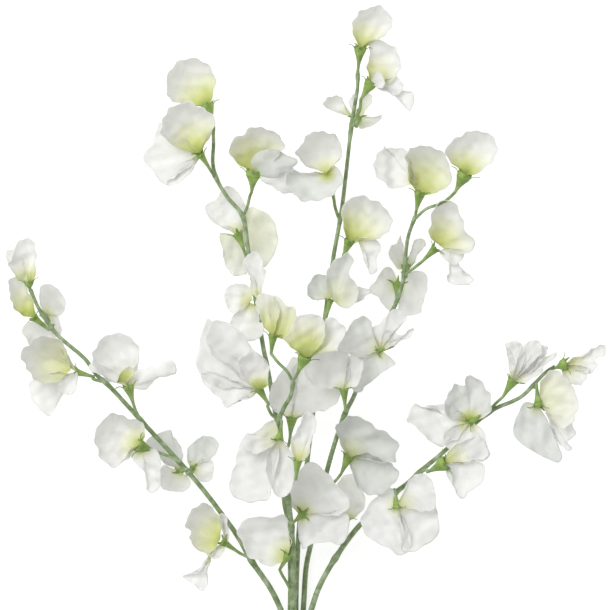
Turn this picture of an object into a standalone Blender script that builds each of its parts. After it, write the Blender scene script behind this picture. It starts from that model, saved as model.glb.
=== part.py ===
"""A cut spray of artificial sweet pea, lying down: a stalk, six side stems and 44 white blossoms.

The layout is in millimetres. +Y runs from the top of the stalk towards the tips, +X to the right and
+Z up from the surface that the spray lies on. Directions are given as (turn, rise) in degrees: turn
goes anticlockwise from +X in plan, rise is up from the horizontal. The last step moves the spray so
that the middle of its footprint is the origin, and turns millimetres into metres.
"""
from collections import namedtuple

import bpy
import numpy as np
from mathutils import Matrix

MM = 0.001                  # one millimetre in metres

# ---- the stalk ----
STALK_ROUTE = [(0, -140, 3.9), (0, -75, 4.9), (0, -14, 7.6), (0, -6, 8.2), (0, -0.7, 8.2)]
STALK_RADII = [3.9, 4.2, 4.6, 7.6, 7.6]
STALK_SIDES = 12

# ---- stems and flower stalks ----
STEM_SIDES = 6
STEM_STEP = 20              # spacing of the rings along a stem
PEDICEL_RADIUS = 1.3
PEDICEL_SIDES = 5
PEDICEL_PULL = 0.35         # how far a flower stalk keeps its first and last directions
FUNNEL_LENGTH = 12          # the moulded cone that the calyx sits on
FUNNEL_SHARE = 0.75         # most of the flower stalk that the cone may take up
FUNNEL_RADIUS = 3.7
FIT_GAP = 0.35              # between the funnel and the calyx pushed onto it

# ---- calyx ----
CALYX_DEPTH = 3.0           # from the throat back to the funnel
CALYX_RADIUS = 4.2
CALYX_FRONT = 2.0           # how far the calyx reaches forward of the throat
SEPAL_REACH = 9.5
SEPAL_BACK = 0.5            # how far the sepal tips lie behind the throat
SEPALS = 5

# ---- petals ----
PETAL_THICKNESS = 1.0
PETAL_SIDE = 0.35           # length along a petal's two side edges, against 1 in the middle
PETAL_ROUNDNESS = 2.2       # 2 is an ellipse, more is squarer
HOOD_START = 2.2            # radius at which a hood leaves the throat
HOOD_GRID = (3, 5)          # rows from throat to rim, columns across
WING_GRID = (1, 4)
WING_TROUGH = 30            # degrees that a wing curls across, in one length
WING_START = 0.07           # share of a wing's length hidden in the calyx

# A flower: `at` is its throat, `aim` the way it faces, `join` where its stalk leaves the stem.
# `hood` is (length, spread, flare, lip): a cupped petal, round the side away from the sky; spread is
# half its reach round the axis, flare and lip its angles to the axis at the throat and at the rim.
# `wings` are flat petals, each (turn, rise, length, spread, bend): spread is half the angle of the fan,
# bend is how far it turns upward between the throat and the tip.
Flower = namedtuple("Flower", "at aim join hood wings")
Branch = namedtuple("Branch", "route radii flowers")

SPRAY = {
    "left": Branch(
        route=[(-4.7, 0, 11), (-6, 8, 11.2), (-14, 26, 12), (-25, 51, 14), (-42, 73, 16), (-72, 117, 19),
               (-87, 136, 22), (-109, 161, 25), (-145, 199, 28), (-169, 223, 30), (-190, 248, 33),
               (-199, 267, 35)],
        radii=(2.4, 1.3),
        flowers=[
            Flower((-200, 272, 37), (96, 5), (-199, 267, 35), (34, 120, 45, -25),
                   [(130, 12, 26, 18, 12), (74, 0, 26, 18, 12)]),
            Flower((-198, 244, 26), (122, 5), (-182, 239, 31.5), (33, 108, 40, -20), []),
            Flower((-186, 248, 5), (125, -65), (-189, 247, 32.5), None,
                   [(68, -15, 24, 48, 12), (-52, -15, 17, 44, 12)]),
            Flower((-175, 208, 26), (178, 25), (-145, 199, 28), (36, 125, 80, -25),
                   [(127, -22, 43, 22, 12), (245, -12, 40, 24, 12), (270, -30, 25, 24, 12)]),
            Flower((-129, 197, 38), (110, 15), (-117, 171, 27), (40, 120, 78, -28),
                   [(17, -5, 42, 15, 12), (162, -10, 28, 22, 12)]),
            Flower((-119, 151, 32), (160, 25), (-87, 136, 25), (38, 125, 80, -20), [(266, -15, 42, 20, 12)]),
            Flower((-90, 127, 4), (200, -65), (-82, 130, 24), None,
                   [(218, -10, 23, 58, 12), (112, -5, 34, 34, 12)]),
            Flower((-75, 137, 4), (50, -65), (-80, 128, 24), None,
                   [(62, -12, 21, 60, 12), (-32, -12, 17, 56, 12)]),
            Flower((-53, 76, 28), (152, 15), (-33, 62, 16), (34, 125, 80, -18),
                   [(240, -10, 20, 30, 12), (231, -18, 44, 14, 12)]),
        ],
    ),
    "upper_left": Branch(
        route=[(-4.7, 0, 5.4), (-4.7, 10, 6), (-4, 40, 9), (-2.5, 85, 13), (-6, 122, 17), (-10, 152, 19),
               (-16, 182, 21), (-25, 226, 24), (-34, 276, 27), (-38, 306, 28), (-42, 322, 28), (-57, 341, 28),
               (-63, 358, 28), (-62, 370, 29), (-60.5, 382, 29)],
        radii=(2.2, 1.3),
        flowers=[
            Flower((-65, 406, 20), (122, 0), (-61, 379, 29), (40, 125, 80, -28), []),
            Flower((-75, 374, 50), (108, 28), (-61, 348, 28), (38, 125, 80, -20), [(202, -4, 41, 36, 12)]),
            Flower((-33, 357, 42), (85, 12), (-42, 322, 28), (37, 122, 82, -25), [(2, -12, 36, 40, 12)]),
            Flower((-44, 310, 13), (115, -45), (-36, 290, 27), None,
                   [(128, -15, 38, 44, 12), (246, -26, 36, 34, 12), (4, -35, 34, 54, 30)]),
            Flower((-27, 264, 41), (98, 12), (-27.5, 240, 25), (32, 110, 45, -10), []),
            Flower((-37, 256, 34), (178, 14), (-29, 247, 26), None,
                   [(158, 0, 25, 46, 12), (238, -10, 34, 44, 12)]),
        ],
    ),
    "front": Branch(
        route=[(0, 0, 14), (0, 8, 15.2), (-2, 26, 22), (-2, 62, 33), (-4, 85, 40), (-7, 107, 46),
               (-13, 160, 54), (-10, 175, 57), (-4, 186, 59), (-2, 197, 61)],
        radii=(2.6, 1.4),
        flowers=[
            Flower((-18, 231, 62), (85, 12), (-3, 195, 60), (37, 115, 75, -20), []),
            Flower((6, 215, 80), (80, 22), (-3, 195, 60), (34, 120, 80, -15), [(38, -5, 37, 32, 12)]),
            Flower((-28, 194, 66), (115, 20), (-13, 169, 56), (30, 90, 70, 0),
                   [(122, -4, 56, 36, 12), (158, -8, 50, 38, 12), (198, -12, 42, 42, 12)]),
            Flower((-14, 151, 65), (262, 20), (-12, 168, 55.5), None,
                   [(164, 5, 28, 34, 12), (230, -6, 52, 40, 12), (277, -20, 39, 34, 12)]),
            Flower((1, 139, 74), (78, 15), (-5, 95, 43), (36, 90, 40, -15), []),
            Flower((6, 97, 35), (40, -45), (-4.5, 88, 41), None, [(82, -4, 46, 46, 12), (-38, -6, 41, 64, 12)]),
            Flower((-11, 69, 38), (142, 14), (-2, 34, 24.5), (39, 105, 82, -5), []),
            Flower((-3, 170, 44), (85, 5), (-10, 132, 50), None, [(108, -5, 40, 30, 12), (46, -8, 50, 42, 12)]),
        ],
    ),
    "centre": Branch(
        route=[(0, 0, 2.6), (0, 8, 3), (0, 32, 9.5), (1, 62, 19), (3, 92, 23), (9, 141, 27), (15, 191, 28),
               (22, 246, 28), (28, 289, 28), (34, 323, 27), (37, 347, 27), (42, 391, 27), (46, 415, 28),
               (46.5, 430, 30)],
        radii=(2.2, 1.3),
        flowers=[
            Flower((49, 450, 38), (70, 10), (46.3, 426, 29.5), (33, 120, 75, -30), []),
            Flower((57, 422, 31), (68, 8), (42, 391, 27), (34, 90, 55, -15), [(-24, -5, 35, 14, 12)]),
            Flower((46, 396, 4), (90, -65), (42, 389, 27), None,
                   [(152, -8, 26, 24, 12), (-2, -8, 20, 22, 12), (95, -5, 18, 16, 12)]),
            Flower((19, 356, 46), (95, 58), (33, 318, 27), (29, 90, 80, 0),
                   [(202, -4, 38, 34, 12), (264, 0, 27, 60, 12)]),
            Flower((40, 304, 40), (56, 15), (28, 286, 28), (40, 118, 80, -25), [(-56, -12, 36, 17, 12)]),
            Flower((26, 258, 46), (75, 25), (21, 236, 28), None,
                   [(77, -5, 40, 34, 12), (145, -10, 24, 58, 12), (10, -10, 34, 15, 12)]),
        ],
    ),
    "upper_right": Branch(
        route=[(4.7, 0, 5.4), (4.7, 10, 6), (6, 32, 7), (9, 55, 9), (12, 70, 11), (22, 130, 24), (31, 163, 29),
               (42, 190, 31), (59, 227, 31), (73, 251, 30), (81, 286, 28), (87, 312, 30)],
        radii=(2.2, 1.3),
        flowers=[
            Flower((94, 341, 26), (72, 12), (86.5, 309, 30), (38, 120, 80, -20), [(146, -12, 42, 38, 12)]),
            Flower((126, 352, 50), (68, 10), (86.5, 310, 30), (38, 120, 80, -22), []),
            Flower((105, 300, 30), (50, 5), (81, 280, 28.5), (38, 115, 80, -20), [(-56, -12, 37, 18, 12)]),
            Flower((84, 288, 5), (90, -60), (82, 287, 28), None,
                   [(126, -12, 25, 24, 12), (50, -12, 24, 20, 12)]),
            Flower((79, 270, 3), (90, -68), (77, 264, 29.5), None,
                   [(192, -8, 24, 64, 12), (-42, -8, 27, 58, 12)]),
            Flower((63, 220, 50), (100, 58), (55, 215, 31), None,
                   [(155, 0, 36, 38, 12), (24, 0, 28, 20, 12), (62, 5, 34, 14, 12), (268, 0, 31, 46, 12)]),
            Flower((35, 193, 58), (85, 15), (34, 170, 29.5), None, [(100, 0, 30, 56, 12), (35, -4, 34, 34, 12)]),
            Flower((41, 141, 40), (60, 10), (15, 97, 17), None, [(68, 0, 37, 60, 12), (-18, -4, 39, 54, 12)]),
        ],
    ),
    "right": Branch(
        route=[(4.7, 0, 11), (6, 8, 11.2), (12, 26, 12), (18, 43, 13), (28, 62, 15), (46, 88, 19), (70, 113, 24),
               (93, 131, 27), (108, 143, 28), (138, 169, 28), (164, 181, 30), (178, 191, 30),
               (195, 207, 30)],
        radii=(2.4, 1.3),
        flowers=[
            Flower((203, 210, 34), (22, 5), (195, 207, 30), (34, 115, 55, -10), [(-50, 0, 17, 34, 12)]),
            Flower((165, 198, 36), (68, 5), (143, 172, 28), (34, 150, 20, 50), []),
            Flower((182, 186, 48), (350, 14), (170, 187, 30), (39, 112, 86, -10),
                   [(254, -8, 35, 34, 12), (286, -8, 48, 26, 12), (312, -5, 44, 12, 12)]),
            Flower((127, 172, 40), (178, 12), (144, 173, 28), None,
                   [(96, -5, 31, 50, 12), (180, -5, 45, 26, 12), (256, -4, 33, 50, 12)]),
            Flower((112, 139, 50), (30, 15), (96, 133, 26), None, [(32, 0, 36, 34, 12), (-50, -6, 32, 32, 12)]),
            Flower((77, 104, 42), (280, 60), (74, 117, 25), None,
                   [(232, -4, 38, 44, 12), (286, -14, 38, 42, 12), (46, 0, 30, 46, 12), (-24, -9, 34, 46, 12)]),
            Flower((40, 94, 14), (84, 5), (29, 64, 15), (34, 90, 50, 0), []),
        ],
    ),
}

PETAL_COLOUR = (0.80, 0.81, 0.72, 1.0)
PETAL_ROUGHNESS = 0.8
STEM_COLOUR = (0.18, 0.29, 0.10, 1.0)
STEM_ROUGHNESS = 0.55


def unit(vector):
    """A vector of length 1 along the one given."""
    vector = np.asarray(vector, float)
    return vector / np.linalg.norm(vector)


def axes(turn, rise):
    """Forward along (turn, rise), the square-on direction nearest the sky, and the side between them."""
    turn, rise = np.radians([turn, rise])
    forward = np.array([np.cos(turn) * np.cos(rise), np.sin(turn) * np.cos(rise), np.sin(rise)])
    up = np.array([-np.cos(turn) * np.sin(rise), -np.sin(turn) * np.sin(rise), np.cos(rise)])
    return forward, up, np.cross(forward, up)


def smooth_route(points, step):
    """Points about `step` apart on a smooth curve through the route's own points."""
    points = np.array(points, float)
    padded = np.vstack([2 * points[0] - points[1], points, 2 * points[-1] - points[-2]])
    curve = [points[0]]
    for a, b, c, d in zip(padded, padded[1:], padded[2:], padded[3:]):
        parts = max(1, round(np.linalg.norm(c - b) / step))
        for t in np.arange(1, parts + 1) / parts:
            curve.append(0.5 * (2 * b + (c - a) * t + (2 * a - 5 * b + 4 * c - d) * t ** 2
                                + (3 * b - a - 3 * c + d) * t ** 3))
    return np.array(curve)


def tube(path, radii, sides):
    """A closed tube: a ring of `sides` points round each path point, capped with a fan at both ends."""
    path = np.asarray(path, float)
    along = np.gradient(path, axis=0)
    along /= np.linalg.norm(along, axis=1)[:, None]
    across = unit(np.cross(along[0], (0.31, 0.17, 0.94)))
    rings = []
    for centre, ahead, radius in zip(path, along, radii):
        across = unit(across - ahead * np.dot(across, ahead))
        other = np.cross(ahead, across)
        angle = 2 * np.pi * np.arange(sides)[:, None] / sides
        rings.append(centre + radius * (np.cos(angle) * across + np.sin(angle) * other))
    verts = np.vstack(rings + [path[:1], path[-1:]])
    first, last = len(verts) - 2, len(verts) - 1
    faces = []
    for k in range(sides):
        n = (k + 1) % sides
        for i in range(len(path) - 1):
            a, b = i * sides, (i + 1) * sides
            faces += [(a + k, a + n, b + n), (a + k, b + n, b + k)]
        faces.append((first, n, k))
        faces.append((last, (len(path) - 1) * sides + k, (len(path) - 1) * sides + n))
    return verts, faces


def sheet(grid, thickness):
    """A closed solid: a grid of points given a thickness along its normals."""
    down, over = np.gradient(grid, axis=(0, 1))
    normal = np.cross(down, over)
    normal /= np.linalg.norm(normal, axis=2)[..., None]
    rows, columns = grid.shape[:2]
    count = rows * columns
    verts = np.concatenate([grid + normal * thickness / 2, grid - normal * thickness / 2]).reshape(-1, 3)

    def corner(row, column, layer):
        return layer * count + row * columns + column

    faces = []
    for i in range(rows - 1):
        for j in range(columns - 1):
            for layer in (0, 1):
                a, b = corner(i, j, layer), corner(i + 1, j, layer)
                c, d = corner(i + 1, j + 1, layer), corner(i, j + 1, layer)
                faces += [(a, b, c), (a, c, d)] if layer == 0 else [(a, c, b), (a, d, c)]
    edge = [(i, 0) for i in range(rows)] + [(rows - 1, j) for j in range(1, columns)]
    edge += [(i, columns - 1) for i in range(rows - 2, -1, -1)] + [(0, j) for j in range(columns - 2, 0, -1)]
    for (i, j), (k, m) in zip(edge, edge[1:] + edge[:1]):
        a, b, c, d = corner(i, j, 0), corner(k, m, 0), corner(k, m, 1), corner(i, j, 1)
        faces += [(a, c, b), (a, d, c)]
    return verts, faces


def rim(across):
    """Length of a petal at `across` (-1 to 1): 1 in the middle, PETAL_SIDE at both edges."""
    return PETAL_SIDE + (1 - PETAL_SIDE) * np.sqrt(1 - np.abs(across) ** PETAL_ROUNDNESS)


def hood_grid(throat, aim, hood):
    """Points on a cupped petal: part of a bowl of revolution about the flower's axis.

    Along the petal the angle to the axis turns evenly from flare to lip, so radius and height are the
    integrals of its sine and cosine. The middle of the petal lies on the side away from the sky.
    """
    length, spread, flare, lip = hood
    forward, up, side = axes(*aim)
    rows, columns = HOOD_GRID
    along = np.linspace(0, 1, rows + 1)[:, None]
    across = np.linspace(-1, 1, columns + 1)[None, :]
    arc = along * rim(across)
    flare, turned = np.radians(flare), np.radians(lip - flare)
    radius = HOOD_START + length / turned * (np.cos(flare) - np.cos(flare + turned * arc))
    height = length / turned * (np.sin(flare + turned * arc) - np.sin(flare))
    angle = np.radians(spread) * across
    outward = -np.cos(angle)[..., None] * up - np.sin(angle)[..., None] * side
    return throat + radius[..., None] * outward + height[..., None] * forward


def wing_grid(root, wing):
    """Points on a fan of fabric that leaves the calyx along (turn, rise) and bends upward on its way.

    Along the fan the slope grows evenly by `bend`, so run and climb are the integrals of its cosine and
    sine. Across the fan the edges are raised as on a wide trough.
    """
    turn, rise, length, spread, bend = wing
    forward, up, side = axes(turn, 0)
    rows, columns = WING_GRID
    along = np.linspace(WING_START, 1, rows + 1)[:, None]
    across = np.linspace(-1, 1, columns + 1)[None, :]
    reach = length * along * rim(across)
    angle = np.radians(spread) * across
    width = reach * np.sin(angle)
    start, bend = np.radians([rise, bend])
    slope = start + bend * reach * np.cos(angle) / length
    run = length / bend * (np.sin(slope) - np.sin(start))
    climb = length / bend * (np.cos(start) - np.cos(slope))
    curl = np.radians(WING_TROUGH) / length
    lift = (1 - np.cos(curl * width)) / curl
    return (root + (run - lift * np.sin(slope))[..., None] * forward + width[..., None] * -side
            + (climb + lift * np.cos(slope))[..., None] * up)


def calyx(throat, aim):
    """A closed cup with a five-pointed star of sepals round it."""
    forward, up, side = axes(*aim)

    def ring(start, count, radius, back):
        angle = (start + np.arange(count))[:, None] * 2 * np.pi / count
        return throat + radius * (np.cos(angle) * up + np.sin(angle) * side) - forward * back

    tips = ring(0, SEPALS, SEPAL_REACH, SEPAL_BACK)
    notches = ring(0.5, SEPALS, CALYX_RADIUS, 0)
    base = ring(0.5, SEPALS, FUNNEL_RADIUS, CALYX_DEPTH)
    verts = np.vstack([tips, notches, base, [throat + forward * CALYX_FRONT]])
    front = len(verts) - 1
    faces = []
    for k in range(SEPALS):
        before = (k - 1) % SEPALS
        tip, notch, low = k, SEPALS + k, 2 * SEPALS + k
        last_notch, last_low = SEPALS + before, 2 * SEPALS + before
        faces += [(front, tip, notch), (front, last_notch, tip), (tip, low, notch),
                  (tip, last_low, low), (tip, last_notch, last_low)]
    faces += [(2 * SEPALS, 2 * SEPALS + k + 1, 2 * SEPALS + k) for k in range(1, SEPALS - 1)]
    return verts, faces


def flower_solids(flower):
    """The closed pieces of one blossom: calyx, hood and wings, all starting inside the calyx."""
    throat = np.array(flower.at, float)
    solids = [calyx(throat, flower.aim)]
    if flower.hood:
        solids.append(sheet(hood_grid(throat, flower.aim, flower.hood), PETAL_THICKNESS))
    for wing in flower.wings:
        solids.append(sheet(wing_grid(throat, wing), PETAL_THICKNESS))
    return solids


def pedicel(flower, route):
    """The flower's own stalk: a curve from the stem to the funnel, and the funnel up to the calyx."""
    throat, join = np.array(flower.at, float), np.array(flower.join, float)
    forward = axes(*flower.aim)[0]
    end = throat - forward * (CALYX_DEPTH + FIT_GAP)
    funnel = min(FUNNEL_LENGTH, FUNNEL_SHARE * np.linalg.norm(end - join))
    start = end - forward * funnel
    nearest = min(range(len(route) - 1), key=lambda i: np.linalg.norm(route[i] + route[i + 1] - 2 * join))
    leave = unit(unit(route[nearest + 1] - route[nearest]) + unit(start - join))
    pull = PEDICEL_PULL * np.linalg.norm(start - join)
    handles = [join, join + leave * pull, start - forward * pull, start]
    curve = [(1 - t) ** 3 * handles[0] + 3 * (1 - t) ** 2 * t * handles[1]
             + 3 * (1 - t) * t ** 2 * handles[2] + t ** 3 * handles[3] for t in (0, 0.5, 1)]
    radii = [PEDICEL_RADIUS] * 3 + [FUNNEL_RADIUS]
    return tube(curve + [end], radii, PEDICEL_SIDES)


def mesh_object(name, solid):
    """A Blender object from a closed solid in millimetres."""
    verts, faces = solid
    mesh = bpy.data.meshes.new(name)
    mesh.from_pydata((np.asarray(verts) * MM).tolist(), [], faces)
    mesh.update()
    placed = bpy.data.objects.new(name, mesh)
    bpy.context.scene.collection.objects.link(placed)
    return placed


def fuse(name, solids, material):
    """One object whose mesh is the union of closed solids."""
    whole = mesh_object(name, solids[0])
    for number, solid in enumerate(solids[1:]):
        other = mesh_object(f"{name}_with_{number}", solid)
        union = whole.modifiers.new("union", "BOOLEAN")
        union.operation = "UNION"
        union.solver = "EXACT"
        union.object = other
        bpy.context.view_layer.update()
        joined = bpy.data.meshes.new_from_object(whole.evaluated_get(bpy.context.evaluated_depsgraph_get()))
        whole.modifiers.remove(union)
        whole.data = joined
        bpy.data.objects.remove(other)
    whole.data.materials.clear()
    whole.data.materials.append(material)
    whole.data.shade_smooth()
    return whole


def material(name, colour, roughness):
    """A plain non-metal surface."""
    made = bpy.data.materials.new(name)
    made.use_nodes = True
    surface = made.node_tree.nodes["Principled BSDF"]
    surface.inputs["Base Color"].default_value = colour
    surface.inputs["Roughness"].default_value = roughness
    surface.inputs["Metallic"].default_value = 0.0
    return made


def build():
    """Make every node, then set the spray on its own footprint."""
    for old in list(bpy.data.objects):
        bpy.data.objects.remove(old)
    fabric = material("petal_fabric", PETAL_COLOUR, PETAL_ROUGHNESS)
    plastic = material("stem_plastic", STEM_COLOUR, STEM_ROUGHNESS)
    made = []

    stalk = mesh_object("main_stem", tube(STALK_ROUTE, STALK_RADII, STALK_SIDES))
    stalk.data.materials.append(plastic)
    stalk.data.shade_smooth()
    made.append(stalk)

    for branch_name, branch in SPRAY.items():
        route = smooth_route(branch.route, STEM_STEP)
        radii = np.linspace(*branch.radii, len(route))
        stems = [tube(route, radii, STEM_SIDES)]
        stems += [pedicel(flower, route) for flower in branch.flowers]
        made.append(fuse(f"{branch_name}_stem", stems, plastic))
        for number, flower in enumerate(branch.flowers, 1):
            made.append(fuse(f"{branch_name}_blossom_{number}", flower_solids(flower), fabric))

    corners = np.array([v.co for part in made for v in part.data.vertices])
    low, high = corners.min(axis=0), corners.max(axis=0)
    for part in made:
        part.data.transform(Matrix.Translation((-(low[0] + high[0]) / 2, -(low[1] + high[1]) / 2, -low[2])))


build()
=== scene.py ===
"""A cut spray of artificial sweet pea lying on a pale table: a stalk, six side stems and 44 blossoms.

Sizes are in millimetres where nothing else is said, with +Y from the top of the stalk towards the
tips, +X to the right and +Z up from the table, and make_piece moves them onto the CAD model.
Directions are (turn, rise) in degrees: turn goes anticlockwise from +X in plan, rise is up from level.
"""
from collections import namedtuple

import bpy
import numpy as np
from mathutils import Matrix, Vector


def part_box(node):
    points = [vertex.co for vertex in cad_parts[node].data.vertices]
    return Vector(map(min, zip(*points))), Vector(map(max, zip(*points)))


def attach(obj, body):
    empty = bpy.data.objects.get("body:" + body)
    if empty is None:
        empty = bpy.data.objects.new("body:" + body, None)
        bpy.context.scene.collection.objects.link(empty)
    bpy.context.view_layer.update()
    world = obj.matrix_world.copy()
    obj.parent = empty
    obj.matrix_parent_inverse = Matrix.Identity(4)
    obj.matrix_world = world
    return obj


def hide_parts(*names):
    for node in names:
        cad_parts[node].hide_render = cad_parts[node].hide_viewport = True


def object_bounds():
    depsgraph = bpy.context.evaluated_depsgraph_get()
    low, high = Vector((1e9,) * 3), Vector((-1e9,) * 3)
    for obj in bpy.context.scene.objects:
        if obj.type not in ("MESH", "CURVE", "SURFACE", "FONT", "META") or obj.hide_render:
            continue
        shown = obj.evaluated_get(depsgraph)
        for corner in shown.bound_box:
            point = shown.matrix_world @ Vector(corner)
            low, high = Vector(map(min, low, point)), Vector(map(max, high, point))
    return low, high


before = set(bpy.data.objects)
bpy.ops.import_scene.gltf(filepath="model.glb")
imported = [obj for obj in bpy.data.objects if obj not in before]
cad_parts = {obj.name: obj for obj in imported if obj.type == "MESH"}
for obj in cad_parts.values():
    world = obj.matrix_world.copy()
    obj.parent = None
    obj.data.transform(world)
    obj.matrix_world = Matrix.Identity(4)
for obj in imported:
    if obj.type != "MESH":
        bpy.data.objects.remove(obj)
cad_box = [list(corner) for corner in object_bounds()]


# ==== The stalk ====
# The real one is a steel wire in a thick skin of polyethylene, injection moulded in one piece with
# the swollen collar that the six side stems are pushed into, and cut square at its lower end.

STALK_ROUTE = [(0, -140, 3.9), (0, -75, 4.9), (0, -14, 7.6), (0, -6, 8.2), (0, -0.7, 8.2)]
STALK_RADII = [3.9, 4.2, 4.6, 7.4, 7.4]
STALK_SIDES = 36
STALK_RIBS = 9              # shallow flutes along the skin
RIB_DEPTH = 0.035           # as a share of the radius
PATH_STEP = 2.0             # at most, between two rings of a tube
STEM_GREEN = "#82946c"
STEM_SHADE = "#63764c"
STEM_BLOOM = "#a9b49c"
STEM_BLOTCH = 6             # length of a blotch of the bloom
STEM_GRAIN = 0.6            # grain left by the mould
FRESH_GREEN = "#94b057"
FRESH_SHADE = "#6f8a43"

# The middle of the stalk's top, brought down to the table. All places are given from there.
stalk_low, stalk_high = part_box("main_stem")
stalk_top = stalk_low.y - STALK_ROUTE[0][1] * 0.001
PLACE = np.array([(stalk_low.x + stalk_high.x) / 2, stalk_top, cad_box[0][2]])


def unit(vectors):
    """Vectors of length 1: each divided by its own length."""
    vectors = np.asarray(vectors, float)
    return vectors / np.linalg.norm(vectors, axis=-1, keepdims=True)


def curve_through(points, values=None, count=None):
    """Points on a Catmull-Rom curve through the given ones, with the values shared out along it.

    Each span is the cubic whose ends are two given points and whose end slopes are half the line
    between their neighbours. The new points are under PATH_STEP apart, or `count` in all, by the
    length of the straight spans.
    """
    points = np.asarray(points, float)
    values = np.zeros(len(points)) if values is None else values
    padded = np.vstack([2 * points[0] - points[1], points, 2 * points[-1] - points[-2]])
    gone = np.concatenate([[0], np.cumsum(np.linalg.norm(np.diff(points, axis=0), axis=1))])
    count = count or int(gone[-1] / PATH_STEP) + 2
    place = np.interp(np.linspace(0, gone[-1], count), gone, np.arange(len(points)))
    span = np.minimum(place.astype(int), len(points) - 2)
    t = (place - span)[:, None]
    a, b, c, d = (padded[span + k] for k in range(4))
    curve = 0.5 * (2 * b + (c - a) * t + (2 * a - 5 * b + 4 * c - d) * t ** 2
                   + (3 * b - a - 3 * c + d) * t ** 3)
    return curve, np.interp(place, np.arange(len(points)), values)


def bands(rings, sides):
    """The four-cornered faces that join each closed ring of points to the next.

    Points are numbered ring by ring, so a corner's neighbours are one further, or one ring further.
    """
    first = np.arange((rings - 1) * sides).reshape(-1, sides)
    beside = np.roll(first, -1, axis=1)
    return np.stack([first, beside, beside + sides, first + sides], axis=-1).reshape(-1, 4)


def tube(path, radii, fresh, sides, ribs=0):
    """A closed tube: a ring of `sides` points round each path point, square to the path.

    The ring is a circle of that point's radius, times 1 + RIB_DEPTH cos(ribs x angle). The two ends
    are closed with flat faces. `fresh` is each ring's share of the bright green.
    """
    ahead = unit(np.gradient(path, axis=0))
    across = unit(np.cross(ahead, (0, 0, 1)))
    other = np.cross(ahead, across)
    angle = 2 * np.pi * np.arange(sides)[None, :, None] / sides
    flutes = 1 + RIB_DEPTH * np.cos(ribs * angle) if ribs else 1
    size = np.asarray(radii, float)[:, None, None] * flutes
    rings = path[:, None] + size * (np.cos(angle) * across[:, None] + np.sin(angle) * other[:, None])
    ring = np.arange(sides)
    caps = np.stack([ring[::-1], ring + (len(path) - 1) * sides])
    return rings.reshape(-1, 3), [bands(len(path), sides), caps], {"fresh": np.repeat(fresh, sides)}, None


def make_piece(name, shapes, finish, nodes):
    """One object from several closed surfaces in millimetres, riding on the root body.

    A shape is (points, arrays of faces with equally many corners, {attribute: value of each point},
    UV of each point or None).
    """
    starts = np.cumsum([0] + [len(points) for points, *_ in shapes])
    points = np.concatenate([points for points, *_ in shapes]) * 0.001 + PLACE
    faces = [face for (_, arrays, _, _), start in zip(shapes, starts) for array in arrays
             for face in (array + start).tolist()]
    mesh = bpy.data.meshes.new(name)
    mesh.from_pydata(points.tolist(), [], faces)
    for key in shapes[0][2]:
        values = np.concatenate([attributes[key] for _, _, attributes, _ in shapes]).astype(np.float32)
        mesh.attributes.new(key, "FLOAT", "POINT").data.foreach_set("value", values)
    if shapes[0][3] is not None:
        corner = np.empty(len(mesh.loops), int)
        mesh.loops.foreach_get("vertex_index", corner)
        flat = np.concatenate([uv for *_, uv in shapes])[corner]
        mesh.uv_layers.new(name="cloth").data.foreach_set("uv", flat.astype(np.float32).ravel())
    mesh.materials.append(finish)
    mesh.shade_smooth()
    made = bpy.data.objects.new(name, mesh)
    bpy.context.scene.collection.objects.link(made)
    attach(made, "root")
    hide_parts(*nodes)


def linear(hex_colour):
    """An sRGB hex colour in linear light: c/12.92 up to 0.04045, ((c + 0.055)/1.055)^2.4 above it."""
    c = np.array([int(hex_colour[k:k + 2], 16) for k in (1, 3, 5)]) / 255
    return (*np.where(c <= 0.04045, c / 12.92, ((c + 0.055) / 1.055) ** 2.4).tolist(), 1.0)


def add(tree, kind, links=(), inputs=(), **settings):
    """Adds a shader node to a tree, with its settings, unlinked inputs and the outputs that feed it."""
    made = tree.nodes.new("ShaderNode" + kind)
    for key, value in settings.items():
        setattr(made, key, value)
    for key, value in dict(inputs).items():
        made.inputs[key].default_value = value
    for key, (source, output) in dict(links).items():
        tree.links.new(source.outputs[output], made.inputs[key])
    return made


def colour_steps(ramp_node, steps):
    """Sets a colour ramp to the given (place, hex colour) steps."""
    ramp = ramp_node.color_ramp
    ramp.elements[0].position, ramp.elements[0].color = steps[0][0], linear(steps[0][1])
    ramp.elements[1].position, ramp.elements[1].color = steps[-1][0], linear(steps[-1][1])
    for place, colour in steps[1:-1]:
        ramp.elements.new(place).color = linear(colour)
    return ramp_node


def new_finish(name):
    """A new material and its node tree, with no nodes yet."""
    finish = bpy.data.materials.new(name)
    finish.use_nodes = True
    finish.node_tree.nodes.clear()
    return finish, finish.node_tree


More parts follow.
